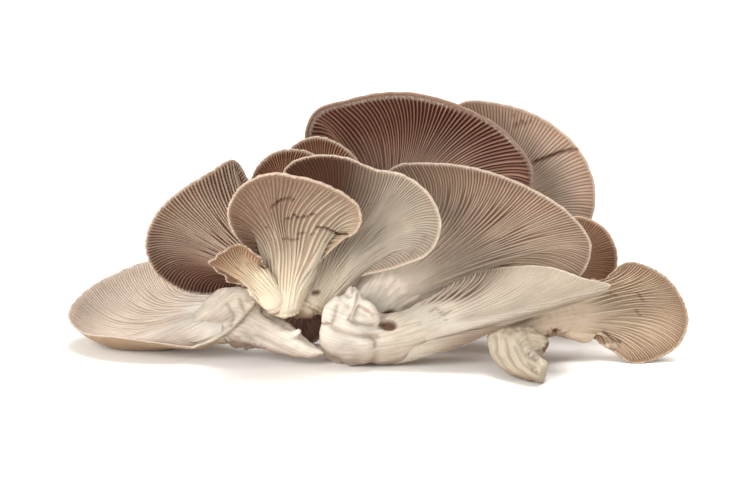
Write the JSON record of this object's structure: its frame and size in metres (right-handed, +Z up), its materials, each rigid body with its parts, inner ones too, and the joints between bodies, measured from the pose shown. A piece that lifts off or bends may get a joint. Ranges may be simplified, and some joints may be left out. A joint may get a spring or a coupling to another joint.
{
  "type": "oyster mushroom cluster",
  "caption": "Heap of oyster mushroom clumps, caps standing on edge with their gills showing and one fallen mushroom at each end.",
  "frame": {"origin": "middle of the heap's box, at the bottom, on the surface it rests on", "axes": "+X along the heap's length, +Z up, the gills of the standing caps look towards -Y"},
  "size_m": [0.2636, 0.1078, 0.1067],
  "materials": {
    "centre_flesh": "matt cream gills and grey-brown skin",
    "right_flesh": "matt cream gills and grey-brown skin",
    "back_flesh": "matt dark brown gills and grey-brown skin",
    "left_fallen_flesh": "matt cream gills and tan skin",
    "right_fallen_flesh": "matt cream gills and tan skin"
  },
  "bodies": {
    "root": {"centre_clump": "centre_flesh", "right_clump": "right_flesh", "back_clump": "back_flesh", "left_fallen_mushroom": "left_fallen_flesh", "right_fallen_mushroom": "right_fallen_flesh"}
  },
  "joints": []
}
